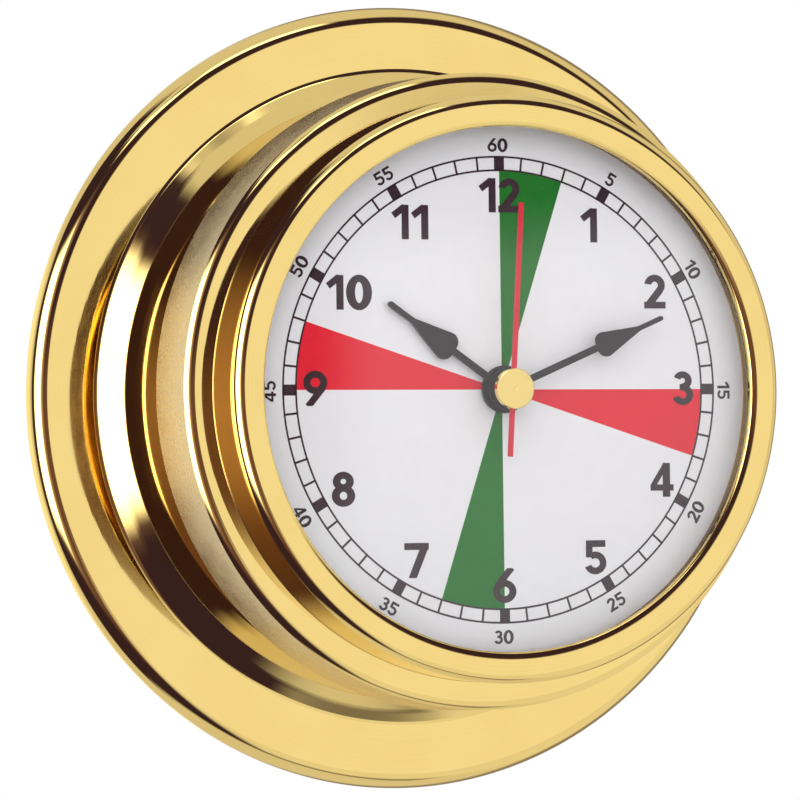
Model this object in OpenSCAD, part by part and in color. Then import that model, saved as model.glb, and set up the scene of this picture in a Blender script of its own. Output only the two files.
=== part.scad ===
// Ship's deck clock: a round brass bulkhead clock with a quartz movement, in millimetres.
// The clock faces -Y and its twelve points up, +Z. The origin is the middle of its back, on the wall.
// Every piece is drawn lying on its back, facing up, and stand() then hangs it on the wall.
// Heights, the names that end in _h, _low, _high, _front or _back, are measured from the wall.

/* [Flange and drum] */
// Diameter of the flange that lies on the wall
flange_d = 95; // [88:0.5:110]
// Height of the flange's face above the wall
flange_h = 2; // [1.6:0.1:3]
// Thickness of the flange's sheet
flange_sheet = 1.2; // [0.8:0.1:1.5]
// Radius of the cove between flange and drum
cove_r = 3; // [1.5:0.1:4]
// Wall of the drum
drum_wall = 1.5; // [1.1:0.05:2.4]
// Height of the drum up to the bezel's foot
drum_h = 18; // [16:0.5:26]
// Wall of the spigot that the bezel is pushed over
spigot_wall = 0.85; // [0.6:0.05:1.2]

/* [Bezel] */
// Height of the bezel's skirt, from its foot to the step
skirt_h = 9.5; // [7:0.1:12]
// Wall of the skirt at the step
skirt_wall = 0.8; // [0.6:0.05:1.2]
// How much further out the skirt's foot is than its top
skirt_flare = 0.6; // [0.1:0.05:1]
// Rounding of the step's edge
step_edge = 1.3; // [0.6:0.1:1.8]
// Width of the step, from the front ring out to the skirt
step_w = 3; // [2.4:0.1:4]
// Thickness of the step
step_t = 1.2; // [0.8:0.1:1.6]
// Height of the front ring above the step
ring_h = 7.9; // [6.5:0.1:10]
// Wall of the front ring
ring_wall = 1.5; // [1.3:0.05:2.2]
// Rounding of the front ring's edge
ring_edge = 1.2; // [0.5:0.05:1.3]
// Thickness of the lip over the crystal
lip_t = 0.8; // [0.6:0.05:1.2]
// Width of the lip over the crystal
lip_w = 1.6; // [1.2:0.05:2.4]

/* [Crystal, dial and seals] */
// Diameter of the dial
dial_d = 64.4; // [62:0.2:72]
// Thickness of the dial
dial_t = 0.5; // [0.4:0.05:0.8]
// Height of the gilt spacer between dial and crystal
spacer_h = 1.2; // [0.8:0.05:2]
// Width of the gilt spacer
spacer_w = 1.5; // [1:0.05:2]
// Thickness of the crystal
crystal_t = 1.2; // [1:0.05:1.6]
// Thickness of the crystal's seal
crystal_seal_t = 0.5; // [0.3:0.05:0.8]
// Thickness of the seal between bezel and drum
bezel_seal_t = 0.5; // [0.3:0.05:0.8]

/* [Hands] */
// Angle of the hour hand, clockwise from twelve
hour_angle = 305; // [0:1:360]
// Angle of the minute hand, clockwise from twelve
minute_angle = 67; // [0:1:360]
// Angle of the second hand, clockwise from twelve
second_angle = 3.5; // [0:0.5:360]
// Length of the hour hand
hour_len = 17.3; // [15:0.1:20]
// Length of the minute hand
minute_len = 21.2; // [19:0.1:25]
// Length of the second hand
second_len = 21.4; // [19:0.1:25]
// Length of the second hand's tail
second_tail = 7.8; // [5:0.1:10]
// Width of the hour and minute hands' arms
arm_w = 0.8; // [0.6:0.05:1.2]
// Width of the second hand
second_w = 0.6; // [0.4:0.05:0.9]
// Width of the hour hand's spade
hour_spade_w = 3.3; // [2.8:0.1:4.5]
// Length of the hour hand's spade
hour_spade_len = 6.1; // [5:0.1:7]
// Width of the minute hand's spade
minute_spade_w = 2.9; // [2.6:0.1:4]
// Length of the minute hand's spade
minute_spade_len = 5.7; // [4.5:0.1:7]
// Diameter of the hour hand's hub
hour_hub_d = 5.5; // [5.2:0.1:7]
// Diameter of the minute hand's hub
minute_hub_d = 4.9; // [4:0.1:6]
// Diameter of the cap on the second hand
cap_d = 4.7; // [3.6:0.1:6]
// Thickness of the cap on the second hand
cap_t = 0.7; // [0.5:0.05:1]
// Thickness of the hour and minute hands
hand_t = 0.4; // [0.3:0.05:0.5]
// Gap between the dial and the hour hand
dial_gap = 0.5; // [0.4:0.05:0.8]
// Gap from each hand to the next
hand_gap = 0.95; // [0.7:0.05:1.2]

/* [Movement] */
// Wall of the movement's moulded case
case_wall = 1.2; // [1:0.05:1.5]
// Radius of the movement's corners
case_corner = 10; // [8:0.5:12]
// Diameter of the battery
battery_d = 12; // [11:0.1:12.8]
// Length of the battery without its nub
battery_len = 29.4; // [27:0.1:31]
// Thickness of the moulded holder behind the dial
holder_t = 1.4; // [1.2:0.1:2]
// Wall of the moulded holder
holder_wall = 1.2; // [0.8:0.1:1.5]
// Wall of the tubes that carry the hands
tube_wall = 0.6; // [0.5:0.05:0.65]
// Diameter of the setting knob at the back
knob_d = 7.2; // [6:0.1:9]

/* [Gear train] */
// Distance from the hands' axis to the third wheel
third_distance = 7.5; // [7.2:0.1:8.2]
// Distance from the hands' axis to the intermediate wheel
intermediate_distance = 5.5; // [5.3:0.1:6]
// Distance from the intermediate wheel to the rotor
rotor_distance = 5.4; // [5:0.1:5.6]
// Distance from the hands' axis to the motion wheel
motion_distance = 6; // [5.8:0.1:6.4]
// Distance from the motion wheel to the setting wheel
setting_distance = 6.75; // [6.4:0.05:7.2]
// Thickness of each wheel
wheel_t = 0.8; // [0.6:0.05:1]
// Gap between two layers of wheels
layer_gap = 0.9; // [0.8:0.05:1.2]
// Gap between a wheel and the plate beside it
plate_gap = 0.4; // [0.3:0.05:0.6]
// Thickness of the middle plate
plate_t = 1; // [0.8:0.1:1.4]

/* [Wall ring] */
// Diameter of the circle of wall screws
screw_circle_d = 56; // [54:0.5:58]
// Diameter of each wall screw's hole
screw_hole_d = 4.2; // [3.5:0.1:4.6]
// Diameter of each countersink
countersink_d = 7; // [6.4:0.1:8]
// Thickness of the wall ring
wall_ring_t = 2; // [1.8:0.1:3]
// Inside diameter of the wall ring
wall_ring_bore = 44; // [38:0.5:46]
// Height of the wall ring's rim
wall_rim_h = 10; // [9:0.5:12]
// Wall of the wall ring's rim
wall_rim_t = 1; // [0.8:0.1:1.4]
// Room for the springs between rim and drum
spring_room = 1.2; // [0.9:0.05:1.4]
// Thickness of each spring
spring_t = 0.4; // [0.3:0.05:0.5]
// Width of each spring
spring_w = 5; // [4:0.1:5.4]

/* [Fits] */
// Clearance all round between pieces that are pushed together
push_fit = 0.05; // [0.02:0.01:0.1]
// Clearance all round of a shaft that turns in a hole
shaft_fit = 0.05; // [0.02:0.01:0.08]
// Clearance all round of a piece dropped into a pocket
pocket_fit = 0.1; // [0.05:0.01:0.2]

/* [Hidden] */
$fn = 96;

brass = [0.88, 0.73, 0.40];
gilt = [0.90, 0.77, 0.48];
steel = [0.66, 0.67, 0.69];
copper = [0.72, 0.42, 0.24];
black_rubber = [0.12, 0.12, 0.12];
black_plastic = [0.16, 0.16, 0.17];
grey_plastic = [0.42, 0.43, 0.45];
white_nylon = [0.86, 0.86, 0.82];
dial_white = [0.92, 0.90, 0.92];
hand_black = [0.24, 0.19, 0.21];
hand_red = [0.85, 0.16, 0.22];
board_green = [0.16, 0.36, 0.22];
clear_glass = [0.85, 0.90, 0.92, 0.3];

// A cut runs this far past the face that it opens
past = 1;
// Two solids of one piece run this far into each other
into = 0.2;

// Radii of the bezel and the case, from the dial outwards
dial_r = dial_d / 2;
ring_bore_r = dial_r + pocket_fit;
ring_r = ring_bore_r + ring_wall;
lip_r = ring_bore_r - lip_w;
skirt_top_r = ring_r + step_w;
skirt_foot_r = skirt_top_r + skirt_flare;
skirt_bore_r = skirt_top_r - skirt_wall;
spigot_r = skirt_bore_r - push_fit;
drum_bore_r = spigot_r - spigot_wall;
drum_r = drum_bore_r + drum_wall;
flange_r = flange_d / 2;

// Heights of the bezel and of what it holds, from the lip backwards
step_h = drum_h + skirt_h;
shoulder_h = step_h - step_t;
lip_front = step_h + ring_h;
lip_back = lip_front - lip_t;
crystal_high = lip_back - crystal_seal_t;
crystal_low = crystal_high - crystal_t;
dial_front = crystal_low - spacer_h;
dial_back = dial_front - dial_t;
movement_front = dial_back - holder_t;
holder_flange_t = 0.8;
holder_flange_low = shoulder_h - holder_flange_t;
spigot_high = holder_flange_low - bezel_seal_t;

// Heights of the hands and of their tubes
second_t = 0.25;
hour_low = dial_front + dial_gap;
hour_high = hour_low + hand_t;
minute_low = hour_high + hand_gap;
minute_high = minute_low + hand_t;
second_low = minute_high + hand_gap;
second_high = second_low + second_t;
cap_front = second_high + cap_t;

// Tips of the spade hands, middle of the second hand and the dimple in its cap
hour_tip_len = 3.6;
hour_tip_w = 0.65;
minute_tip_len = 3.3;
minute_tip_w = 0.55;
second_hub_r = 1.6;
dimple_r = 0.2;

// Dome of the crystal, high enough to clear the tip of the second hand
dome_clearance = 0.3;
dome_inset = 0.2;
dome_r = lip_r - dome_inset;
dome_rise = (second_high + dome_clearance - crystal_low) / (1 - pow(second_len / dome_r, 2));
dome_inner_r = (pow(dome_r, 2) + pow(dome_rise, 2)) / (2 * dome_rise);
dome_middle_h = crystal_low + dome_rise - dome_inner_r;

// Radii of the hands' arbor and tubes, each turning in the next
pivot_r = 0.35;
second_arbor_r = 0.45;
minute_bore_r = second_arbor_r + shaft_fit;
minute_tube_r = minute_bore_r + tube_wall;
hour_bore_r = minute_tube_r + shaft_fit;
hour_tube_r = hour_bore_r + tube_wall;
bush_bore_r = hour_tube_r + shaft_fit;
bush_r = bush_bore_r + tube_wall;
stud_r = 0.5;
stem_r = 0.9;

// Tooth counts, set by the ratios: rotor to second hand 30, second hand to minute hand 60,
// minute hand to hour hand 12
rotor_teeth = 8;
intermediate_teeth = 48;
intermediate_pinion_teeth = 8;
second_teeth = 40;
second_pinion_teeth = 8;
third_teeth = 60;
third_pinion_teeth = 8;
centre_teeth = 64;
minute_pinion_teeth = 12;
motion_teeth = 36;
motion_pinion_teeth = 12;
hour_teeth = 48;
setting_teeth = 18;
pressure_angle = 20;
// Share of half the pitch that a tooth fills, and its height above and below the pitch circle in modules
tooth_share = 0.78;
addendum = 0.85;
dedendum = 1.15;

// Directions from each arbor to the next, and where the arbors stand
third_direction = 150;
intermediate_direction = 60;
rotor_direction = 60;
motion_direction = 0;
setting_direction = -10;
third_at = polar(third_distance, third_direction);
intermediate_at = polar(intermediate_distance, intermediate_direction);
rotor_at = intermediate_at + polar(rotor_distance, rotor_direction);
motion_at = polar(motion_distance, motion_direction);
setting_at = motion_at + polar(setting_distance, setting_direction);

// Pitch radii
rotor_pitch = shared(rotor_distance, rotor_teeth, intermediate_teeth);
intermediate_pitch = shared(rotor_distance, intermediate_teeth, rotor_teeth);
intermediate_pinion_pitch = shared(intermediate_distance, intermediate_pinion_teeth, second_teeth);
second_pitch = shared(intermediate_distance, second_teeth, intermediate_pinion_teeth);
second_pinion_pitch = shared(third_distance, second_pinion_teeth, third_teeth);
third_pitch = shared(third_distance, third_teeth, second_pinion_teeth);
third_pinion_pitch = shared(third_distance, third_pinion_teeth, centre_teeth);
centre_pitch = shared(third_distance, centre_teeth, third_pinion_teeth);
minute_pinion_pitch = shared(motion_distance, minute_pinion_teeth, motion_teeth);
motion_pitch = shared(motion_distance, motion_teeth, minute_pinion_teeth);
motion_pinion_pitch = shared(motion_distance, motion_pinion_teeth, hour_teeth);
hour_pitch = shared(motion_distance, hour_teeth, motion_pinion_teeth);
setting_pitch = setting_distance - motion_pitch;
third_tip = tip(third_pitch, third_teeth);
centre_tip = tip(centre_pitch, centre_teeth);
third_pinion_tip = tip(third_pinion_pitch, third_pinion_teeth);
intermediate_pinion_tip = tip(intermediate_pinion_pitch, intermediate_pinion_teeth);

// Turn of each wheel about its arbor, so that the teeth are in mesh
third_pinion_turn = meshed(0, centre_teeth, third_direction, third_pinion_teeth);
second_pinion_turn = meshed(0, third_teeth, third_direction + 180, second_pinion_teeth);
intermediate_pinion_turn = meshed(0, second_teeth, intermediate_direction, intermediate_pinion_teeth);
rotor_turn = meshed(0, intermediate_teeth, rotor_direction, rotor_teeth);
motion_turn = meshed(0, minute_pinion_teeth, motion_direction, motion_teeth);
hour_turn = meshed(0, motion_pinion_teeth, motion_direction + 180, hour_teeth);
setting_turn = meshed(motion_turn, motion_teeth, setting_direction, setting_teeth);

// Heights inside the movement, from the front wall backwards
front_inside = movement_front - case_wall;
hour_wheel_high = front_inside - layer_gap;
hour_wheel_low = hour_wheel_high - wheel_t;
motion_high = hour_wheel_low - layer_gap;
motion_low = motion_high - wheel_t;
centre_high = motion_low - layer_gap;
centre_low = centre_high - wheel_t;
plate_high = centre_low - plate_gap;
plate_low = plate_high - plate_t;
third_high = plate_low - plate_gap;
third_low = third_high - wheel_t;
second_wheel_high = third_low - layer_gap;
second_wheel_low = second_wheel_high - wheel_t;
intermediate_high = second_wheel_low - layer_gap;
intermediate_low = intermediate_high - wheel_t;
back_inside = intermediate_low - plate_gap;
movement_back = back_inside - case_wall;
// A pinion is this much longer than its wheel at each end, and a pivot is this long
pinion_over = 0.2;
pivot_len = 0.8;

// Outline of the movement, seen from the front
wheel_room = 0.3;
battery_room = 0.7;
divider_high_y = -(centre_tip + wheel_room);
divider_low_y = divider_high_y - case_wall;
battery_y = divider_low_y - battery_room - battery_d / 2;
case_half = -(battery_y - battery_d / 2 - battery_room - case_wall);
chamber_half = case_half - case_wall;
pillar_r = 1.5;
pillar_bore_r = 0.9;
cover_screw_r = pillar_bore_r - pocket_fit;
pillar_inset_x = 3.2;
pillar_inset_y = 2.4;
pillar_x = chamber_half - pillar_inset_x;
pillar_low_y = divider_high_y + pillar_inset_y;
coil_inset = 4.3;
coil_room = 1.9;
coil_y = chamber_half - coil_inset;
bobbin_r = 2.1;
plate_top_y = coil_y - bobbin_r - coil_room;
pillar_high_y = plate_top_y - pillar_inset_y;
pillars_at = [for (x = [-1, 1]) for (y = [pillar_low_y, pillar_high_y]) [x * pillar_x, y]];

// Ears that carry the movement in its holder
ear_t = 2;
ear_w = 7;
ear_len = 5.5;
ear_screw_out = 2.9;
ear_setback = 2.8;
ear_screw_x = case_half + ear_screw_out;
ear_high = movement_front - ear_setback;
ear_low = ear_high - ear_t;
boss_r = 2.2;
holder_screw_r = 0.95;
screw_head_t = 1.2;
screw_head_r = 1.9;
screw_slot_w = 0.5;
screw_slot_t = 0.5;

// Ribs of the holder beside the movement
rib_t = 1.2;
rib_len = 7;
rib_offset = 9;

// Feet of the dial
foot_r = 0.6;
foot_len = 1;
foot_circle_r = 26;

// Stepping motor
magnet_r = 2;
magnet_gap = 0.4;
magnet_end_gap = 0.7;
magnet_low = intermediate_high + magnet_end_gap;
magnet_high = plate_low - magnet_end_gap;
stator_t = 0.8;
stator_high = third_low - plate_gap;
stator_low = stator_high - stator_t;
stator_boss_r = rotor_distance - intermediate_pinion_tip - magnet_gap;
stator_bar_w = 3.6;
stator_leg_w = 3;
stator_reach = 9.4;
core_w = 1.6;
core_over = 0.8;
bobbin_wall = 0.35;
bobbin_half = 6.8;
bobbin_flange_t = 0.8;
winding_r = 1.85;
core_r = norm([core_w, stator_t]) / 2;
coil_x = rotor_at[0];
coil_h = stator_high + stator_t / 2;
stator_seat_r = 1.2;
stator_seat_inset = 1.5;
stator_seats_at = [for (x = [-1, 1]) [coil_x + x * stator_reach, plate_top_y - stator_seat_inset]];

// Circuit board on the back of the middle plate
board_t = 0.8;
board_room = 0.4;
board_wheel_room = 0.7;
board_foot_len = 6.2;
board_back = plate_low - board_t;
board_left_x = -(chamber_half - board_room);
board_right_x = third_at[0] - third_tip - board_wheel_room;
board_low_y = divider_high_y + board_room;
board_high_y = plate_top_y - board_room;
board_foot_x = board_right_x + board_foot_len;
board_foot_y = third_at[1] - third_tip - board_wheel_room;
board_middle_x = (board_left_x + board_right_x) / 2;
chip_r = 2.2;
chip_t = 0.9;
chip_room = 1.1;
chip_y = pillar_high_y - pillar_r - chip_r - chip_room;
can_r = 1;
can_len = 5.2;
can_y = pillar_low_y + pillar_r + can_len / 2 + chip_room;

// Battery and its contacts
nub_r = 2.1;
nub_len = 0.8;
battery_h = (movement_back + front_inside) / 2;
contact_t = 0.4;
contact_w = 8;
leaf_room = 1.4;
leaf_bend_r = 8;
leaf_w = 5.4;
end_rib_t = 1.2;
cradle_x = 8;
cradle_depth = 4.6;
positive_x = battery_len / 2 + nub_len;
negative_x = -battery_len / 2 - leaf_room;
arm_inset = 1.5;
arm_low = movement_back + arm_inset;
tab_w = 2.4;
tab_reach = 1.8;
tab_inset = 0.8;
tab_high = board_back;
tab_low = tab_high - contact_t;
tab_end_y = board_low_y + tab_reach;
positive_tab_x = board_foot_x - tab_w - tab_inset;
negative_tab_x = negative_x - contact_t;

// Setting knob
knob_t = 1.9;
knob_gap = 0.3;
knob_notches = 16;
knob_notch_r = 0.5;
knob_high = movement_back - knob_gap;

// Wall ring and springs
wall_rim_r = drum_bore_r - spring_room;
countersink_t = (countersink_d - screw_hole_d) / 2;
wall_screws = 3;
first_screw_direction = 90;
first_spring_direction = 30;
spring_touch = 0.02;
spring_bend_r = 20;
spring_inset = 0.5;
spring_low = wall_rim_h - spring_w - spring_inset;

// Point at a distance and direction, anticlockwise from the right
function polar(distance, direction) = distance * [cos(direction), sin(direction)];

// Pitch radius of a wheel that meshes over a distance with another
function shared(distance, teeth, other_teeth) = distance * teeth / (teeth + other_teeth);

// Radius at the tips of a wheel's teeth
function tip(pitch_r, teeth) = pitch_r + addendum * 2 * pitch_r / teeth;

// Turn of a wheel in mesh with another, which is turned so far and has it in that direction
function meshed(other_turn, other_teeth, direction, teeth) =
    direction + 180 + 180 / teeth + (direction - other_turn) * other_teeth / teeth;

// Angle that an involute unwinds through
function unwound(angle) = tan(angle) * 180 / PI - angle;

// Half the angle that a tooth fills at a radius
function tooth_half(r, pitch_r, teeth) =
    let (base_r = pitch_r * cos(pressure_angle))
    let (angle = r > base_r ? acos(base_r / r) : 0)
    90 * tooth_share / teeth + unwound(pressure_angle) - unwound(angle);

// Radii at the root, pitch circle and tip of a tooth
function tooth_radii(pitch_r, teeth) =
    [for (m = [-dedendum, 0, addendum]) pitch_r + m * 2 * pitch_r / teeth];

// Outline of a toothed wheel, one flank up and the other down for each tooth
function gear_points(pitch_r, teeth) =
    let (radii = tooth_radii(pitch_r, teeth))
    [for (i = [0 : teeth - 1]) for (side = [-1, 1]) for (k = [0 : 2])
        let (r = radii[1 + side * (1 - k)])
        polar(r, 360 * i / teeth + side * tooth_half(r, pitch_r, teeth))];

// Where a line from a point touches a circle, on the side that lies anticlockwise, 1, or clockwise, -1
function tangent_point(from, centre, r, side) =
    let (away = from - centre)
    let (direction = atan2(away[1], away[0]) + side * acos(r / norm(away)))
    centre + polar(r, direction);

// Half the angle of a bowed strip whose ends come down to a circle about the origin
function bow_half_angle(crown, bend_r, thickness, end_r) =
    let (offset_r = crown - bend_r)
    let (inner_r = bend_r - thickness)
    acos((pow(end_r, 2) - pow(offset_r, 2) - pow(inner_r, 2)) / (2 * offset_r * inner_r));

// Hangs what is drawn facing up on the wall
module stand() {
    rotate([90, 0, 0]) children();
}

// Moves its children to a point in the plane of the dial
module at(point) {
    translate([point[0], point[1], 0]) children();
}

// Flat outline made solid between two heights
module slab(low, high) {
    translate([0, 0, low]) linear_extrude(high - low) children();
}

// Round rod between two heights
module rod(r, low, high) {
    translate([0, 0, low]) cylinder(r = r, h = high - low);
}

// Ring between two radii and two heights
module band(r_out, r_in, low, high) {
    difference() {
        rod(r_out, low, high);
        rod(r_in, low - past, high + past);
    }
}

// Block between two corners
module block(low, high) {
    translate(low) cube(high - low);
}

// Rectangle between two corners of a section, radius first and then height
module patch(low, high) {
    translate(low) square(high - low);
}

// Quarter of a disc that rounds the outer front corner of a section
module corner(centre, r) {
    intersection() {
        translate(centre) circle(r);
        patch(centre, centre + [r + past, r + past]);
    }
}

// Toothed wheel between two heights
module toothed(pitch_r, teeth, turn, low, high) {
    slab(low, high) rotate(turn) polygon(gear_points(pitch_r, teeth));
}

// Square outline with round corners
module round_square(half, corner) {
    square([2 * half, 2 * (half - corner)], center = true);
    square([2 * (half - corner), 2 * half], center = true);
    for (x = [-1, 1]) {
        for (y = [-1, 1]) {
            translate((half - corner) * [x, y]) circle(corner);
        }
    }
}

// Slotted pan head with its shank, pointing up from under the head
module screw(shank_r, shank_len) {
    difference() {
        rod(screw_head_r, -screw_head_t, 0);
        block([-screw_head_r - past, -screw_slot_w / 2, -screw_head_t - past],
            [screw_head_r + past, screw_slot_w / 2, -screw_head_t + screw_slot_t]);
    }
    rod(shank_r, -into, shank_len);
}

// Section of the flange, cove and drum
module shell_section() {
    inner_cove_r = cove_r + flange_sheet;
    under_h = flange_h - flange_sheet;
    difference() {
        union() {
            patch([0, 0], [flange_r - flange_h, flange_h]);
            translate([flange_r - flange_h, 0]) circle(flange_h);
            patch([0, 0], [drum_r, drum_h]);
            patch([0, 0], [spigot_r, spigot_high]);
            patch([0, 0], [drum_r + cove_r, flange_h + cove_r]);
        }
        translate([drum_r + cove_r, flange_h + cove_r]) circle(cove_r);
        patch([0, -past], [drum_bore_r, spigot_high + past]);
        patch([0, -flange_h - past], [flange_r + past, 0]);
        patch([0, -past], [flange_r - flange_h, under_h]);
        translate([flange_r - flange_h, 0]) circle(under_h);
        difference() {
            patch([drum_bore_r - past, 0], [drum_bore_r + inner_cove_r, under_h + inner_cove_r]);
            translate([drum_bore_r + inner_cove_r, under_h + inner_cove_r]) circle(inner_cove_r);
        }
    }
}

// Section of the bezel: drafted skirt, step, front ring and lip
module bezel_section() {
    step_corner = [skirt_top_r - step_edge, step_h - step_edge];
    foot = [skirt_foot_r, drum_h];
    touch = tangent_point(foot, step_corner, step_edge, 1);
    ring_corner = [ring_r - ring_edge, lip_front - ring_edge];
    difference() {
        union() {
            polygon([
                [0, drum_h],
                foot,
                touch,
                step_corner,
                [step_corner[0], step_h],
                [0, step_h]
            ]);
            corner(step_corner, step_edge);
            patch([0, step_h - into], [ring_r, ring_corner[1]]);
            patch([0, step_h], [ring_corner[0], lip_front]);
            corner(ring_corner, ring_edge);
        }
        patch([0, drum_h - past], [skirt_bore_r, shoulder_h]);
        patch([0, drum_h - past], [ring_bore_r, lip_back]);
        patch([0, drum_h - past], [lip_r, lip_front + past]);
    }
}

// Section of the domed crystal and its flat rim
module crystal_section() {
    difference() {
        intersection() {
            translate([0, dome_middle_h]) circle(dome_inner_r + crystal_t);
            patch([0, crystal_low], [dome_r, crystal_low + 2 * dome_rise]);
        }
        translate([0, dome_middle_h]) circle(dome_inner_r);
    }
    patch([dome_r - into, crystal_low], [dial_r, crystal_high]);
}

// Outline of a spade hand that points to twelve
module spade(len, spade_w, spade_len, tip_len, tip_w) {
    lobe_r = spade_w / 3;
    lobe_x = spade_w / 2 - lobe_r;
    tip_y = len - tip_len;
    lobe_y = tip_y - spade_len + lobe_r;
    shoulder = [tip_w / 2, tip_y];
    touch = tangent_point(shoulder, [lobe_x, lobe_y], lobe_r, -1);
    translate([-arm_w / 2, 0]) square([arm_w, lobe_y]);
    for (x = [-1, 1]) {
        translate([x * lobe_x, lobe_y]) circle(lobe_r);
    }
    translate([-lobe_x, lobe_y - lobe_r]) square([2 * lobe_x, lobe_r]);
    polygon([
        [-lobe_x, lobe_y],
        [lobe_x, lobe_y],
        touch,
        shoulder,
        [-shoulder[0], shoulder[1]],
        [-touch[0], touch[1]]
    ]);
    translate([-tip_w / 2, tip_y - into]) square([tip_w, tip_len + into - tip_w / 2]);
    translate([0, len - tip_w / 2]) circle(tip_w / 2);
}

module wall_ring() {
    color(steel) stand() difference() {
        union() {
            band(wall_rim_r, wall_ring_bore / 2, 0, wall_ring_t);
            band(wall_rim_r, wall_rim_r - wall_rim_t, 0, wall_rim_h);
        }
        for (i = [0 : wall_screws - 1]) {
            at(polar(screw_circle_d / 2, first_screw_direction + 360 * i / wall_screws)) {
                rod(screw_hole_d / 2, -past, wall_ring_t + past);
                translate([0, 0, wall_ring_t - countersink_t])
                    cylinder(r1 = screw_hole_d / 2, r2 = countersink_d / 2, h = countersink_t);
            }
        }
    }
}

module ring_springs() {
    crown = drum_bore_r - spring_touch;
    half_angle = bow_half_angle(crown, spring_bend_r, spring_t, wall_rim_r + spring_touch);
    color(steel) stand() for (i = [0 : wall_screws - 1]) {
        rotate(first_spring_direction + 360 * i / wall_screws)
            translate([crown - spring_bend_r, 0, spring_low])
            rotate(-half_angle)
            rotate_extrude(angle = 2 * half_angle)
            patch([spring_bend_r - spring_t, 0], [spring_bend_r, spring_w]);
    }
}

module case_shell() {
    color(brass) stand() rotate_extrude() shell_section();
}

module bezel_seal() {
    color(black_rubber) stand() band(spigot_r, drum_bore_r, spigot_high, holder_flange_low);
}

module bezel() {
    color(brass) stand() rotate_extrude() bezel_section();
}

module crystal_seal() {
    color(black_rubber) stand() band(dial_r, dome_r + pocket_fit, crystal_high, lip_back);
}

module crystal() {
    color(clear_glass) stand() rotate_extrude() crystal_section();
}

module dial_spacer() {
    color(gilt) stand() band(dial_r, dial_r - spacer_w, dial_front, crystal_low);
}

module dial() {
    color(dial_white) stand() {
        band(dial_r, bush_r + push_fit, dial_back, dial_front);
        for (x = [-1, 1]) {
            at([x * foot_circle_r, 0]) rod(foot_r, dial_back - foot_len, dial_back);
        }
    }
}

module movement_holder() {
    pocket_half = case_half + pocket_fit;
    color(black_plastic) stand() difference() {
        union() {
            rod(dial_r, movement_front, dial_back);
            band(dial_r, dial_r - holder_wall, holder_flange_low, movement_front + into);
            band(spigot_r, dial_r - holder_wall, holder_flange_low, shoulder_h);
            for (side = [0 : 3]) {
                for (y = [-1, 1]) {
                    rotate(90 * side) block(
                        [pocket_half, y * rib_offset - rib_len / 2, holder_flange_low],
                        [pocket_half + rib_t, y * rib_offset + rib_len / 2, movement_front + into]
                    );
                }
            }
            for (x = [-1, 1]) {
                at([x * ear_screw_x, 0]) rod(boss_r, ear_high, movement_front + into);
            }
        }
        rod(bush_r + push_fit, movement_front - past, dial_back + past);
        for (x = [-1, 1]) {
            at([x * foot_circle_r, 0]) rod(foot_r + push_fit, movement_front + into, dial_back + past);
            at([x * ear_screw_x, 0]) rod(holder_screw_r, ear_high - past, movement_front);
        }
    }
}

module holder_screws() {
    color(steel) stand() for (x = [-1, 1]) {
        translate([x * ear_screw_x, 0, ear_low])
            screw(holder_screw_r, movement_front - ear_low - into);
    }
}

// Room for the wheels, open to the back
module train_chamber() {
    intersection() {
        slab(movement_back - past, front_inside) round_square(chamber_half, case_corner - case_wall);
        block([-chamber_half, divider_high_y, movement_back - 2 * past],
            [chamber_half, chamber_half, front_inside]);
    }
}

// Room for the battery, open to the back, with its cradles and end ribs left standing
module battery_chamber() {
    difference() {
        intersection() {
            slab(movement_back - past, front_inside) round_square(chamber_half, case_corner - case_wall);
            block([-chamber_half, -chamber_half, movement_back - 2 * past],
                [chamber_half, divider_low_y, front_inside]);
        }
        for (x = [positive_x + contact_t, negative_x - end_rib_t]) {
            block([x, -case_half, movement_back],
                [x + end_rib_t, divider_low_y + into, front_inside + into]);
        }
        difference() {
            for (x = [-1, 1]) {
                block([x * cradle_x - case_wall / 2, -case_half, front_inside - cradle_depth],
                    [x * cradle_x + case_wall / 2, divider_low_y + into, front_inside + into]);
            }
            lying_rod(battery_d / 2 + pocket_fit, -case_half, case_half, battery_y, battery_h);
        }
    }
}

// Round rod that lies across the movement, from left to right
module lying_rod(r, left, right, y, h) {
    translate([left, y, h]) rotate([0, 90, 0]) cylinder(r = r, h = right - left);
}

module movement_case() {
    slot_low = tab_low - pocket_fit;
    slot_high = tab_high + pocket_fit;
    color(black_plastic) stand() difference() {
        union() {
            difference() {
                slab(movement_back, movement_front) round_square(case_half, case_corner);
                train_chamber();
                battery_chamber();
            }
            rod(bush_r, movement_front - into, dial_front - pocket_fit);
            at(motion_at) rod(stud_r, motion_low, front_inside + into);
            for (p = pillars_at) {
                at(p) rod(pillar_r, plate_high, front_inside + into);
            }
            for (x = [-1, 1]) {
                block([x * (case_half + ear_len / 2 - into) - ear_len / 2, -ear_w / 2, ear_low],
                    [x * (case_half + ear_len / 2 - into) + ear_len / 2, ear_w / 2, ear_high]);
            }
        }
        rod(bush_bore_r, front_inside - past, dial_front + past);
        at(third_at) rod(pivot_r + shaft_fit, front_inside - past, front_inside + pivot_len);
        at(setting_at) rod(pivot_r + shaft_fit, front_inside - past, front_inside + pivot_len);
        for (p = pillars_at) {
            at(p) rod(cover_screw_r, plate_high - past, front_inside - into);
        }
        for (x = [-1, 1]) {
            at([x * ear_screw_x, 0]) rod(holder_screw_r + pocket_fit, ear_low - past, ear_high + past);
        }
        for (x = [positive_tab_x, negative_tab_x]) {
            block([x - pocket_fit, divider_low_y - past, slot_low],
                [x + tab_w + pocket_fit, divider_high_y + past, slot_high]);
        }
    }
}

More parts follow.
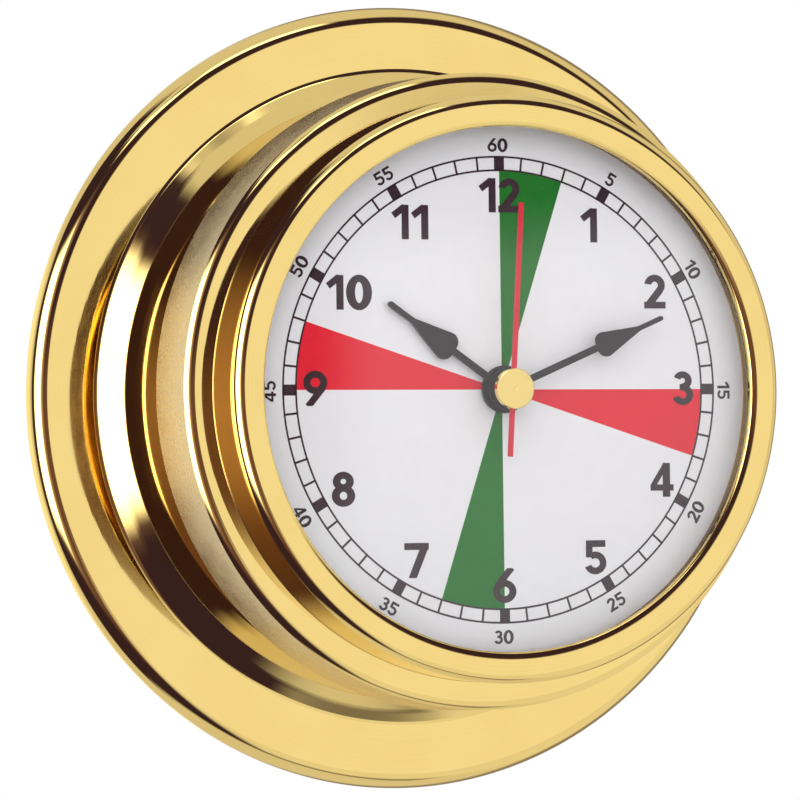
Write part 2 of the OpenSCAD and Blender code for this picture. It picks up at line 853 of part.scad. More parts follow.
module movement_cover() {
    color(grey_plastic) stand() difference() {
        union() {
            intersection() {
                slab(movement_back, back_inside)
                    round_square(chamber_half - pocket_fit, case_corner - case_wall);
                block([-chamber_half, divider_high_y + pocket_fit, movement_back - past],
                    [chamber_half, chamber_half, back_inside + past]);
            }
            for (p = pillars_at) {
                at(p) rod(pillar_r, back_inside - into, plate_low);
            }
            for (p = stator_seats_at) {
                at(p) rod(stator_seat_r, back_inside - into, stator_low);
            }
        }
        for (p = pillars_at) {
            at(p) rod(pillar_bore_r, movement_back - past, plate_low + past);
        }
        for (p = [[0, 0], third_at, intermediate_at, rotor_at]) {
            at(p) rod(pivot_r + shaft_fit, back_inside - pivot_len, back_inside + past);
        }
        at(setting_at) rod(stem_r + shaft_fit, movement_back - past, back_inside + past);
    }
}

module cover_screws() {
    color(steel) stand() for (p = pillars_at) {
        translate([p[0], p[1], movement_back])
            screw(cover_screw_r, front_inside - movement_back - layer_gap);
    }
}

module middle_plate() {
    color(grey_plastic) stand() difference() {
        union() {
            block([-chamber_half + pocket_fit, divider_high_y + pocket_fit, plate_low],
                [chamber_half - pocket_fit, plate_top_y, plate_high]);
            for (p = stator_seats_at) {
                at(p) rod(stator_seat_r, stator_high, plate_low + into);
            }
        }
        for (p = pillars_at) {
            at(p) rod(pillar_bore_r, plate_low - past, plate_high + past);
        }
        for (p = [intermediate_at, rotor_at]) {
            at(p) rod(pivot_r + shaft_fit, plate_low - past, plate_low + pivot_len);
        }
        rod(second_arbor_r + shaft_fit, plate_low - past, plate_high + past);
        at(third_at) rod(third_pinion_tip + wheel_room, plate_low - past, plate_high + past);
        at(setting_at) rod(stem_r + shaft_fit, plate_low - past, plate_high + past);
    }
}

module battery() {
    color(gilt) stand() {
        lying_rod(battery_d / 2, -battery_len / 2, battery_len / 2, battery_y, battery_h);
        lying_rod(nub_r, battery_len / 2 - into, positive_x, battery_y, battery_h);
    }
}

module positive_contact() {
    color(steel) stand() {
        block([positive_x, battery_y - contact_w / 2, battery_h - contact_w / 2],
            [positive_x + contact_t, divider_low_y, battery_h + contact_w / 2]);
        block([positive_tab_x, divider_low_y - contact_t, arm_low],
            [positive_x + contact_t, divider_low_y, tab_high]);
        block([positive_tab_x, divider_low_y - contact_t, tab_low],
            [positive_tab_x + tab_w, tab_end_y, tab_high]);
    }
}

module negative_contact() {
    crown = leaf_room;
    half_angle = acos((leaf_bend_r - crown) / (leaf_bend_r - contact_t));
    leaf_end_y = battery_y + (leaf_bend_r - contact_t) * sin(half_angle);
    leaf_low = battery_h - leaf_w / 2;
    color(steel) stand() {
        translate([negative_x + crown - leaf_bend_r, battery_y, leaf_low])
            rotate(-half_angle)
            rotate_extrude(angle = 2 * half_angle)
            patch([leaf_bend_r - contact_t, 0], [leaf_bend_r, leaf_w]);
        block([negative_x, leaf_end_y - contact_t, leaf_low],
            [negative_x + contact_t, divider_low_y, tab_high]);
        block([negative_tab_x, divider_low_y - contact_t, tab_low],
            [negative_tab_x + tab_w, tab_end_y, tab_high]);
    }
}

module circuit_board() {
    color(board_green) stand() difference() {
        union() {
            block([board_left_x, board_low_y, board_back], [board_right_x, board_high_y, plate_low]);
            block([board_left_x, board_low_y, board_back], [board_foot_x, board_foot_y, plate_low]);
        }
        for (p = pillars_at) {
            at(p) rod(pillar_r + pocket_fit, board_back - past, plate_low + past);
        }
    }
}

module driver_chip() {
    dome = (pow(chip_r, 2) + pow(chip_t, 2)) / (2 * chip_t);
    color(black_rubber) stand() at([board_middle_x, chip_y]) intersection() {
        translate([0, 0, board_back - chip_t + dome]) sphere(dome);
        rod(chip_r + past, board_back - chip_t - past, board_back);
    }
}

module quartz_can() {
    color(steel) stand() translate([board_middle_x, can_y - can_len / 2, board_back - can_r])
        rotate([-90, 0, 0]) cylinder(r = can_r, h = can_len);
}

module stator() {
    color(steel) stand() difference() {
        union() {
            at(rotor_at) rod(stator_boss_r, stator_low, stator_high);
            block([rotor_at[0] - stator_reach, rotor_at[1] - stator_bar_w / 2, stator_low],
                [rotor_at[0] + stator_reach, rotor_at[1] + stator_bar_w / 2, stator_high]);
            for (x = [-1, 1]) {
                leg_x = rotor_at[0] + x * stator_reach;
                block([leg_x - stator_leg_w / 2, rotor_at[1] - stator_bar_w / 2, stator_low],
                    [leg_x + stator_leg_w / 2, coil_y + core_w, stator_high]);
            }
        }
        at(rotor_at) rod(magnet_r + magnet_gap, stator_low - past, stator_high + past);
    }
}

module coil_core() {
    color(steel) stand() block(
        [coil_x - stator_reach - core_over, coil_y - core_w / 2, stator_high],
        [coil_x + stator_reach + core_over, coil_y + core_w / 2, stator_high + stator_t]
    );
}

module coil_bobbin() {
    color(white_nylon) stand() difference() {
        union() {
            lying_rod(core_r + bobbin_wall, coil_x - bobbin_half, coil_x + bobbin_half, coil_y, coil_h);
            for (x = [coil_x - bobbin_half, coil_x + bobbin_half - bobbin_flange_t]) {
                lying_rod(bobbin_r, x, x + bobbin_flange_t, coil_y, coil_h);
            }
        }
        block([coil_x - bobbin_half - past, coil_y - core_w / 2, stator_high],
            [coil_x + bobbin_half + past, coil_y + core_w / 2, stator_high + stator_t]);
    }
}

module coil_winding() {
    winding_half = bobbin_half - bobbin_flange_t;
    color(copper) stand() difference() {
        lying_rod(winding_r, coil_x - winding_half, coil_x + winding_half, coil_y, coil_h);
        lying_rod(core_r + bobbin_wall, coil_x - bobbin_half, coil_x + bobbin_half, coil_y, coil_h);
    }
}

module rotor_magnet() {
    color(steel) stand() at(rotor_at) band(magnet_r, pivot_r, magnet_low, magnet_high);
}

module rotor_pinion() {
    color(white_nylon) stand() at(rotor_at) {
        toothed(rotor_pitch, rotor_teeth, rotor_turn,
            intermediate_low - pinion_over, intermediate_high + pinion_over);
        rod(pivot_r, back_inside - pivot_len + pinion_over, plate_low + pivot_len - pinion_over);
    }
}

module intermediate_wheel() {
    color(white_nylon) stand() at(intermediate_at) {
        toothed(intermediate_pitch, intermediate_teeth, 0, intermediate_low, intermediate_high);
        toothed(intermediate_pinion_pitch, intermediate_pinion_teeth, intermediate_pinion_turn,
            intermediate_high - into, second_wheel_high + pinion_over);
        rod(pivot_r, back_inside - pivot_len + pinion_over, plate_low + pivot_len - pinion_over);
    }
}

module second_wheel() {
    color(white_nylon) stand() {
        toothed(second_pitch, second_teeth, 0, second_wheel_low, second_wheel_high);
        toothed(second_pinion_pitch, second_pinion_teeth, second_pinion_turn,
            second_wheel_high - into, third_high + pinion_over);
        rod(pivot_r, back_inside - pivot_len + pinion_over, second_wheel_low + into);
        rod(second_arbor_r, second_wheel_low, second_high);
    }
}

module third_wheel() {
    color(white_nylon) stand() at(third_at) {
        toothed(third_pitch, third_teeth, 0, third_low, third_high);
        toothed(third_pinion_pitch, third_pinion_teeth, third_pinion_turn,
            third_high - into, centre_high + pinion_over);
        rod(pivot_r, back_inside - pivot_len + pinion_over, front_inside + pivot_len - pinion_over);
    }
}

module centre_wheel() {
    color(white_nylon) stand() difference() {
        union() {
            toothed(centre_pitch, centre_teeth, 0, centre_low, centre_high);
            toothed(minute_pinion_pitch, minute_pinion_teeth, 0,
                centre_high - into, motion_high + pinion_over);
            rod(minute_tube_r, plate_high + pinion_over, minute_high);
        }
        rod(minute_bore_r, plate_high - past, minute_high + past);
    }
}

module motion_wheel() {
    color(white_nylon) stand() at(motion_at) difference() {
        union() {
            toothed(motion_pitch, motion_teeth, motion_turn, motion_low, motion_high);
            toothed(motion_pinion_pitch, motion_pinion_teeth, 0,
                motion_high - into, hour_wheel_high + pinion_over);
        }
        rod(stud_r + shaft_fit, motion_low - past, front_inside + past);
    }
}

module hour_wheel() {
    color(white_nylon) stand() difference() {
        union() {
            toothed(hour_pitch, hour_teeth, hour_turn, hour_wheel_low, hour_wheel_high);
            rod(hour_tube_r, hour_wheel_low, hour_high);
        }
        rod(hour_bore_r, hour_wheel_low - past, hour_high + past);
    }
}

module setting_wheel() {
    color(white_nylon) stand() at(setting_at) {
        toothed(setting_pitch, setting_teeth, setting_turn,
            motion_low - pinion_over, motion_high + pinion_over);
        rod(stem_r, knob_high - knob_t / 2, motion_low);
        rod(pivot_r, motion_high, front_inside + pivot_len - pinion_over);
    }
}

module setting_knob() {
    color(black_plastic) stand() at(setting_at) difference() {
        rod(knob_d / 2, knob_high - knob_t, knob_high);
        rod(stem_r, knob_high - knob_t / 2, knob_high + past);
        for (i = [0 : knob_notches - 1]) {
            at(polar(knob_d / 2, 360 * i / knob_notches))
                rod(knob_notch_r, knob_high - knob_t - past, knob_high + past);
        }
    }
}

module hour_hand() {
    color(hand_black) stand() slab(hour_low, hour_high) difference() {
        union() {
            circle(d = hour_hub_d);
            rotate(-hour_angle)
                spade(hour_len, hour_spade_w, hour_spade_len, hour_tip_len, hour_tip_w);
        }
        circle(hour_tube_r);
    }
}

module minute_hand() {
    color(hand_black) stand() slab(minute_low, minute_high) difference() {
        union() {
            circle(d = minute_hub_d);
            rotate(-minute_angle)
                spade(minute_len, minute_spade_w, minute_spade_len, minute_tip_len, minute_tip_w);
        }
        circle(minute_tube_r);
    }
}

module second_hand() {
    color(hand_red) stand() slab(second_low, second_high) rotate(-second_angle) difference() {
        union() {
            translate([-second_w / 2, -second_tail]) square([second_w, second_tail + second_len]);
            circle(second_hub_r);
        }
        circle(second_arbor_r);
    }
}

module second_hand_cap() {
    color(brass) stand() difference() {
        rod(cap_d / 2, second_high, cap_front);
        rod(dimple_r, cap_front - dimple_r, cap_front + past);
    }
}

wall_ring();
ring_springs();
case_shell();
bezel_seal();
bezel();
crystal_seal();
crystal();
dial_spacer();
dial();
movement_holder();
holder_screws();
movement_case();
movement_cover();
cover_screws();
middle_plate();
battery();
positive_contact();
negative_contact();
circuit_board();
driver_chip();
quartz_can();
stator();
coil_core();
coil_bobbin();
coil_winding();
rotor_magnet();
rotor_pinion();
intermediate_wheel();
second_wheel();
third_wheel();
centre_wheel();
motion_wheel();
hour_wheel();
setting_wheel();
setting_knob();
hour_hand();
minute_hand();
second_hand();
second_hand_cap();
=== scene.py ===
from math import asin, cos, hypot, pi, radians, sin, tan

import bmesh
import bpy
from mathutils import Matrix, Vector


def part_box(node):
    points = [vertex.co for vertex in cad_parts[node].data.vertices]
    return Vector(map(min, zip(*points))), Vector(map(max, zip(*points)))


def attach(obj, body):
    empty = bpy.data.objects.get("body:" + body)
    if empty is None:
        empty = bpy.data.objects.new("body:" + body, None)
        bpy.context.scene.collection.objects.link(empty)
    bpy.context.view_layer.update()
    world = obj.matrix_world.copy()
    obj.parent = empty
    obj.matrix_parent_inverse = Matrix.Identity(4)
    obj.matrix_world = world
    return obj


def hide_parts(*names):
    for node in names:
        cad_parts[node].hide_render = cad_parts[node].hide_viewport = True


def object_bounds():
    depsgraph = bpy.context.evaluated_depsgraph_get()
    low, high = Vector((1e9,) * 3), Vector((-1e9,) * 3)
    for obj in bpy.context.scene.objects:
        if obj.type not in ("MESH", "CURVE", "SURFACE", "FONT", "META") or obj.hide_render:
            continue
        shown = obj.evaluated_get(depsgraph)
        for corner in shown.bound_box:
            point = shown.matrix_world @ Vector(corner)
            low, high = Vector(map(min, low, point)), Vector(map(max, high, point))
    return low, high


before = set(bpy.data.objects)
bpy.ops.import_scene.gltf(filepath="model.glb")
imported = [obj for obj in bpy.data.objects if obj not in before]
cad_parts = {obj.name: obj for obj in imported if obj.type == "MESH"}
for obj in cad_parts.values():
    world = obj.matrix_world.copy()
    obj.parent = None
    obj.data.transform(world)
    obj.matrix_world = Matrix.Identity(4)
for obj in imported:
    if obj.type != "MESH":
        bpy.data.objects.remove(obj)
cad_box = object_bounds()
scene = bpy.context.scene
scene.view_settings.view_transform = "Standard"
mm = 0.001


# Camera. A long lens half a metre away, on the clock's left and a little below its middle,
# as the photograph was taken.
picture_px = 800
px_per_mm = 8.213
camera_distance_mm = 565
camera_roll, camera_pitch, camera_yaw = radians(0.74), radians(-1.39), radians(21.57)
aside_mm, above_mm = -0.04, -0.34
camera_turn = (
    Matrix.Rotation(camera_roll, 4, "Z")
    @ Matrix.Rotation(camera_pitch, 4, "X")
    @ Matrix.Rotation(camera_yaw, 4, "Y")
)
camera_stand = Matrix.Translation((aside_mm * mm, above_mm * mm, camera_distance_mm * mm))
lens = bpy.data.cameras.new("camera")
lens.sensor_width = 36
lens.lens = lens.sensor_width * px_per_mm * camera_distance_mm / picture_px
lens.clip_start = 0.01
camera = bpy.data.objects.new("camera", lens)
camera.matrix_world = Matrix.Rotation(radians(90), 4, "X") @ camera_turn.transposed() @ camera_stand
scene.collection.objects.link(camera)
scene.camera = camera


# Studio. A white tent with a dark opening towards the camera, softboxes on the left and above, a white
# board in front on the right and shade behind it. Brass and glass mirror them; the rest takes even light.
even_white = (1, 1, 1, 1)
glass_white = (1.78, 1.78, 1.78, 1)
tent_white = (0.76, 0.76, 0.76, 1)
back_white = (1.15, 1.15, 1.1, 1)
opening_dark = (0.042, 0.022, 0.045, 1)
opening_warm = (0.16, 0.085, 0.08, 1)
board_white = (1.0, 1.0, 1.0, 1)
side_white = (0.88, 0.88, 0.88, 1)
right_shade = (0.30, 0.27, 0.25, 1)
above_white = (3.0, 3.0, 3.0, 1)
left_white = (4.5, 4.5, 4.5, 1)
left_fringe = (0.62, 0.42, 0.38, 1)

world = bpy.data.worlds.new("studio")
world.use_nodes = True
scene.world = world
studio = world.node_tree
studio.nodes.clear()


def link(tree, source, target):
    """Joins a node's output, or writes a plain value, to an input."""
    if isinstance(source, bpy.types.NodeSocket):
        tree.links.new(source, target)
    else:
        target.default_value = source


def maths(tree, operation, *values):
    """Math node with its inputs set, and its result."""
    step = tree.nodes.new("ShaderNodeMath")
    step.operation = operation
    for value, target in zip(values, step.inputs):
        link(tree, value, target)
    return step.outputs[0]


def ramp(tree, value, low, high, to_low=0.0, to_high=1.0):
    """Smooth step of a value from one level to another."""
    step = tree.nodes.new("ShaderNodeMapRange")
    step.interpolation_type = "SMOOTHSTEP"
    for source, target in zip((value, low, high, to_low, to_high), step.inputs):
        link(tree, source, target)
    return step.outputs[0]


def blend(tree, share, colour, other_colour):
    """Mix of two colours."""
    mix = tree.nodes.new("ShaderNodeMix")
    mix.data_type = "RGBA"
    for source, target in zip((share, colour, other_colour), (mix.inputs[0], *mix.inputs[6:8])):
        link(tree, source, target)
    return mix.outputs[2]


def panel(behind, colour, left, right, low, high, edge):
    """Panel of the studio between two azimuths and two elevations, over what is behind it.
    These and the width of its soft edge are in degrees."""
    covers = []
    for angle, start, end in ((azimuth, left, right), (elevation, low, high)):
        off = maths(studio, "ABSOLUTE", maths(studio, "SUBTRACT", angle, radians((start + end) / 2)))
        half = (end - start) / 2
        covers.append(ramp(studio, off, radians(half + edge), radians(half - edge)))
    return blend(studio, maths(studio, "MULTIPLY", *covers), behind, colour)


direction = studio.nodes.new("ShaderNodeSeparateXYZ")
studio.links.new(studio.nodes.new("ShaderNodeTexCoord").outputs["Generated"], direction.inputs[0])
to_front = maths(studio, "MULTIPLY", direction.outputs[1], -1.0)
azimuth = maths(studio, "ARCTAN2", direction.outputs[0], to_front)
elevation = maths(studio, "ARCSINE", direction.outputs[2])

mirrored = panel(tent_white, opening_dark, -93, 52, -62, 52, 5)
mirrored = panel(mirrored, opening_dark, -100, -45, 30, 65, 5)
mirrored = panel(mirrored, tent_white, -43, -22, 47, 60, 3)
mirrored = panel(mirrored, back_white, -200, -108, -35, 25, 8)
mirrored = panel(mirrored, opening_warm, -34, 12, -26, 5, 6)
mirrored = panel(mirrored, side_white, -2, 120, -56, -10, 6)
mirrored = panel(mirrored, board_white, 7, 62, -24, 14.5, 3.5)
mirrored = panel(mirrored, right_shade, 108, 170, -50, 50, 10)
mirrored = panel(mirrored, left_fringe, -72, -25, -21, 26, 9)
mirrored = panel(mirrored, left_white, -72, -36, -21, 27, 5)
mirrored = panel(mirrored, above_white, -28, -8, 38, 46, 3)
mirrored = panel(mirrored, above_white, -12, 18, 46, 56, 3)

path = studio.nodes.new("ShaderNodeLightPath")
glass_faces_passed = 2.5
outside_glass = maths(studio, "LESS_THAN", path.outputs["Transmission Depth"], glass_faces_passed)
mirror_ray = maths(studio, "MULTIPLY", path.outputs["Is Glossy Ray"], outside_glass)
after_dial = maths(studio, "MINIMUM", path.outputs["Diffuse Depth"], 1.0)
through_glass = maths(studio, "MULTIPLY", path.outputs["Is Transmission Ray"], after_dial)
plain = blend(studio, through_glass, even_white, glass_white)
light = studio.nodes.new("ShaderNodeBackground")
link(studio, blend(studio, mirror_ray, plain, mirrored), light.inputs["Color"])
studio.links.new(light.outputs[0], studio.nodes.new("ShaderNodeOutputWorld").inputs[0])

key_size, key_power, key_distance = 0.5, 1.2, 0.7
key_side, key_tilt = radians(-25), radians(40)
key = bpy.data.lights.new("key", "AREA")
key.size = key_size
key.energy = key_power
key_lamp = bpy.data.objects.new("key", key)
key_lamp.matrix_world = (
    Matrix.Rotation(key_side, 4, "Z")
    @ Matrix.Rotation(key_tilt, 4, "X")
    @ Matrix.Translation((0, 0, key_distance))
)
key_lamp.visible_glossy = False
scene.collection.objects.link(key_lamp)


# Floor. A plain pale sheet well below the hanging clock, out of the camera's frame.
floor_drop = 80 * mm
floor_half = 0.6
relief_depth = 0.1 * mm
fine_share = 0.35
grain_low, grain_high = 0.3, 0.7
crease_angle = radians(32)


def noise(tree, place, grain_mm, detail, dimensions="3D"):
    """Noise of a grain size, over a place or along one number."""
    texture = tree.nodes.new("ShaderNodeTexNoise")
    texture.noise_dimensions = dimensions
    tree.links.new(place, texture.inputs["W" if dimensions == "1D" else "Vector"])
    texture.inputs["Scale"].default_value = 1 / (grain_mm * mm)
    texture.inputs["Detail"].default_value = detail
    return texture.outputs[0]


def surface(
    name, colour, other_colour, grain_mm, roughness, metallic=0.0, bump=0.0, marks=None, **sockets
):
    """Material whose colour and roughness wander over a grain of the given size and over finer marks on it.
    The marks are a fine grain, or lines across x, or rings about the hands' axis, at a pitch in mm."""
    material = bpy.data.materials.new(name)
    material.use_nodes = True
    tree = material.node_tree
    shader = tree.nodes["Principled BSDF"]
    place = tree.nodes.new("ShaderNodeTexCoord").outputs["Object"]
    grain = noise(tree, place, grain_mm, 3)
    if marks:
        along, pitch = marks
        apart = tree.nodes.new("ShaderNodeSeparateXYZ")
        tree.links.new(place, apart.inputs[0])
        across = apart.outputs[0]
        if along == "rings":
            squares = [maths(tree, "POWER", side, 2.0) for side in (across, apart.outputs[2])]
            across = maths(tree, "SQRT", maths(tree, "ADD", *squares))
        fine = noise(tree, across, pitch, 2, "1D")
    else:
        fine = noise(tree, place, grain_mm / 7, 2)
    uneven = maths(
        tree, "MULTIPLY_ADD", fine, fine_share, maths(tree, "MULTIPLY", grain, 1 - fine_share))
    tint = blend(tree, ramp(tree, uneven, grain_low, grain_high), (*colour, 1), (*other_colour, 1))
    tree.links.new(tint, shader.inputs["Base Color"])
    polish = ramp(tree, uneven, grain_low, grain_high, *roughness)
    tree.links.new(polish, shader.inputs["Roughness"])
    if bump:
        relief = tree.nodes.new("ShaderNodeBump")
        relief.inputs["Strength"].default_value = bump
        relief.inputs["Distance"].default_value = relief_depth
        tree.links.new(fine, relief.inputs["Height"])
        tree.links.new(relief.outputs[0], shader.inputs["Normal"])
    shader.inputs["Metallic"].default_value = metallic
    for socket, value in sockets.items():
        shader.inputs[socket.replace("_", " ")].default_value = value
    return material


def piece(name, bm, *materials):
    """Object made of a bmesh, with its faces turned outwards and its curved faces smooth."""
    bmesh.ops.recalc_face_normals(bm, faces=bm.faces)
    mesh = bpy.data.meshes.new(name)
    bm.to_mesh(mesh)
    bm.free()
    mesh.shade_smooth()
    mesh.set_sharp_from_angle(angle=crease_angle)
    for material in materials:
        mesh.materials.append(material)
    made = bpy.data.objects.new(name, mesh)
    scene.collection.objects.link(made)
    return made


sheet = bmesh.new()
bmesh.ops.create_grid(sheet, x_segments=1, y_segments=1, size=floor_half)
bmesh.ops.translate(sheet, verts=sheet.verts, vec=(0, 0, cad_box[0][2] - floor_drop))
floor_paper = surface("floor_paper", (0.86, 0.86, 0.86), (0.88, 0.88, 0.88), 4, (0.8, 0.9))
floor = piece("floor", sheet, floor_paper)
floor.visible_glossy = False


# Wall ring and its three leaf springs. Pressed from zinc plated sheet and screwed to the bulkhead;
# the drum is pushed over it and the bowed springs grip the drum's bore.
def dress(material, *names):
    """Gives CAD nodes a material."""
    for name in names:
        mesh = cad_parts[name].data
        mesh.materials.clear()
        mesh.materials.append(material)


zinc = surface("zinc_plate", (0.58, 0.60, 0.62), (0.68, 0.69, 0.70), 1.5, (0.28, 0.42), 1.0, 0.05)
spring_steel = surface("spring_steel", (0.44, 0.44, 0.46), (0.52, 0.52, 0.54), 0.8, (0.18, 0.28), 1.0)
dress(zinc, "wall_ring")
dress(spring_steel, "ring_springs")


# Case. Flange, cove and drum are spun in one from brass sheet, then polished and lacquered.
# The bezel's spigot is turned down at its front.
edge_steps = 14
seam_gap = 0.0005 * mm


def corner(bm, radius, height, rounding=0.0):
    """Point of a section that will be turned about the hands' axis, and the radius of its edge."""
    return bm.verts.new((radius * mm, -height * mm, 0)), rounding * mm


def turned(name, corners, bm, steps, *materials):
    """Piece turned from a section of corners, each rounded by its own radius."""
    bm.faces.new([vert for vert, rounding in corners])
    for vert, rounding in corners:
        if rounding:
            before, after = (edge.other_vert(vert).co - vert.co for edge in vert.link_edges)
            reach = rounding / tan(before.angle(after) / 2)
            bmesh.ops.bevel(
                bm, geom=[vert], offset=reach, offset_type="OFFSET", affect="VERTICES",
                segments=edge_steps, profile=0.5, material=-1,
            )
    bmesh.ops.delete(bm, geom=list(bm.faces), context="FACES_ONLY")
    axis = [edge for edge in bm.edges if all(vert.co.x == 0 for vert in edge.verts)]
    bmesh.ops.delete(bm, geom=axis, context="EDGES")
    bmesh.ops.spin(
        bm, geom=list(bm.verts) + list(bm.edges), cent=(0, 0, 0), axis=(0, 1, 0),
        angle=2 * pi, steps=steps, use_merge=True,
    )
    bmesh.ops.remove_doubles(bm, verts=bm.verts, dist=seam_gap)
    made = piece(name, bm, *materials)
    made.modifiers.new("flat_faces", "WEIGHTED_NORMAL").keep_sharp = True
    return made


brass = surface(
    "polished_brass", (0.89, 0.66, 0.23), (0.93, 0.70, 0.255), 9, (0.02, 0.06), 1.0, 0.003, ("rings", 0.2))

case_low, case_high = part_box("case_shell")
flange_r = case_high.x / mm
spigot_h = -case_low.y / mm
flange_h, flange_sheet, flange_edge = 2.0, 1.2, 2.2
flange_inner_r, flange_slope = 39.6, 0.034
flange_inner_h = flange_h + flange_slope * (flange_r - flange_edge - flange_inner_r)
under_h = flange_h - flange_sheet
drum_r, drum_bore_r, spigot_r = 36.6, 35.1, 35.95
drum_h = 18.0
cove_mid_r, cove_mid_h, cove_top_h = 38.1, 3.08, 4.1
break_round, cove_round, drum_foot_round, bore_round = 1.1, 12.0, 0.12, 4.2
wall_lean, front_fall, rim_land = 0.22, 0.1, 0.04
rim_inner_r = flange_r - flange_sheet

bm = bmesh.new()
case = turned("case", [
    corner(bm, flange_r, 0),
    corner(bm, flange_r - wall_lean, flange_h - front_fall, flange_edge),
    corner(bm, flange_inner_r, flange_inner_h, break_round),
    corner(bm, cove_mid_r, cove_mid_h, cove_round),
    corner(bm, drum_r, cove_top_h, drum_foot_round),
    corner(bm, drum_r, drum_h),
    corner(bm, spigot_r, drum_h),
    corner(bm, spigot_r, spigot_h),
    corner(bm, drum_bore_r, spigot_h),
    corner(bm, drum_bore_r, under_h, bore_round),
    corner(bm, rim_inner_r, under_h, under_h - rim_land),
    corner(bm, rim_inner_r, 0),
], bm, 256, brass)
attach(case, "case")
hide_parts("case_shell")


# Movement. A small moulded quartz movement in its holder: black tray, grey cover and bearing plate,
# nylon wheels, and a stepping motor run by one cell. It shows only from behind.
black_plastic = surface(
    "black_plastic", (0.018, 0.018, 0.02), (0.03, 0.03, 0.032), 0.4, (0.45, 0.6), 0.0, 0.15)
grey_plastic = surface(
    "grey_plastic", (0.13, 0.135, 0.14), (0.16, 0.165, 0.17), 0.4, (0.45, 0.6), 0.0, 0.12)
nylon = surface("nylon", (0.74, 0.73, 0.66), (0.80, 0.79, 0.73), 1.2, (0.4, 0.5))
dress(black_plastic, "movement_holder", "movement_case", "setting_knob")
dress(grey_plastic, "movement_cover", "middle_plate")
dress(
    nylon, "rotor_pinion", "intermediate_wheel", "second_wheel", "third_wheel", "centre_wheel",
    "motion_wheel", "hour_wheel", "setting_wheel", "coil_bobbin",
)
dress(zinc, "holder_screws", "cover_screws", "positive_contact", "negative_contact", "quartz_can", "stator")
dress(zinc, "coil_core", "rotor_magnet")
solder_mask = surface("solder_mask", (0.012, 0.10, 0.035), (0.02, 0.14, 0.05), 0.5, (0.25, 0.35))
chip_epoxy = surface("chip_epoxy", (0.01, 0.01, 0.01), (0.016, 0.016, 0.016), 0.3, (0.2, 0.3))
copper_wire = surface(
    "copper_wire", (0.50, 0.18, 0.07), (0.70, 0.30, 0.13), 1.5, (0.2, 0.4), 1.0, 0.5, ("lines", 0.06))
cell_sleeve = surface("cell_sleeve", (0.34, 0.32, 0.28), (0.38, 0.36, 0.32), 2, (0.28, 0.36), 0.6)
rubber = surface(
    "seal_rubber", (0.012, 0.012, 0.012), (0.02, 0.02, 0.02), 0.3, (0.6, 0.75), 0.0, 0.1)
dress(solder_mask, "circuit_board")
dress(chip_epoxy, "driver_chip")
dress(copper_wire, "coil_winding")
dress(cell_sleeve, "battery")
dress(rubber, "bezel_seal", "crystal_seal")


# Dial. A disc of sheet metal, lacquered white and printed: a minute track, hour numerals,
# minute numbers and four coloured sectors for the radio silence periods.
dial_white = surface(
    "dial_lacquer", (0.88, 0.86, 0.89), (0.90, 0.88, 0.91), 2, (0.42, 0.5), Specular_IOR_Level=0.1)
dress(dial_white, "dial")
dial_h = -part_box("dial")[0].y / mm

ink_t = 0.01
black_ink = surface(
    "black_ink", (0.046, 0.023, 0.030), (0.056, 0.030, 0.038), 0.6, (0.4, 0.5), Specular_IOR_Level=0.1)
red_ink = surface(
    "red_ink", (0.82, 0.013, 0.033), (0.86, 0.018, 0.04), 0.8, (0.4, 0.5), Specular_IOR_Level=0.1)
green_ink = surface(
    "green_ink", (0.011, 0.17, 0.016), (0.016, 0.20, 0.022), 0.8, (0.4, 0.5), Specular_IOR_Level=0.1)


def printed(name, bm, layer, material):
    """Flat print on the dial, drawn in mm with twelve along +Y, made a thin film on the lacquer."""
    film = bmesh.ops.extrude_face_region(bm, geom=list(bm.faces))
    raised = [part for part in film["geom"] if isinstance(part, bmesh.types.BMVert)]
    bmesh.ops.translate(bm, verts=raised, vec=(0, 0, ink_t * layer))
    bmesh.ops.transform(
        bm, verts=bm.verts,
        matrix=Matrix.Rotation(radians(90), 4, "X")
        @ Matrix.Scale(mm, 4)
        @ Matrix.Translation((0, 0, dial_h)),
    )
    made = piece(name, bm, material)
    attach(made, "case")
    return made


def bow(bm, centre, radius, width, start, end, steps=24):
    """Flat round stroke about a centre, from one angle to another, in degrees anticlockwise from +X."""
    edge = [
        bm.verts.new((centre[0] + r * cos(radians(start)), centre[1] + r * sin(radians(start)), 0))
        for r in (radius - width / 2, radius + width / 2)
    ]
    bmesh.ops.spin(
        bm, geom=[*edge, bm.edges.new(edge)], cent=(*centre, 0), axis=(0, 0, 1),
        angle=radians(end - start), steps=steps, use_merge=abs(end - start) == 360,
    )


def bar(bm, start, end, width):
    """Flat straight stroke from one point to another."""
    along = Vector((end[0] - start[0], end[1] - start[1], 0))
    across = Vector((-along.y, along.x, 0)).normalized() * width / 2
    edge = [bm.verts.new(Vector((*start, 0)) + side * across) for side in (-1, 1)]
    swept = bmesh.ops.extrude_edge_only(bm, edges=[bm.edges.new(edge)])
    moved = [part for part in swept["geom"] if isinstance(part, bmesh.types.BMVert)]
    bmesh.ops.translate(bm, verts=moved, vec=along)


def clock_point(radius, clock_angle):
    """Point of the dial at a radius, with its angle clockwise from twelve."""
    return radius * sin(radians(clock_angle)), radius * cos(radians(clock_angle))


track_outer_r, track_inner_r, track_line = 26.85, 25.29, 0.22
tick_w, block_w = 0.25, 1.25
sector_hub_r, sector_angle = 1.7, 18

for name, material, starts in (("green_sectors", green_ink, (0, 180)), ("red_sectors", red_ink, (90, 270))):
    bm = bmesh.new()
    for start in starts:
        bow(bm, (0, 0), (track_inner_r + sector_hub_r) / 2, track_inner_r - sector_hub_r,
            90 - start - sector_angle, 90 - start)
    printed(name, bm, 1, material)

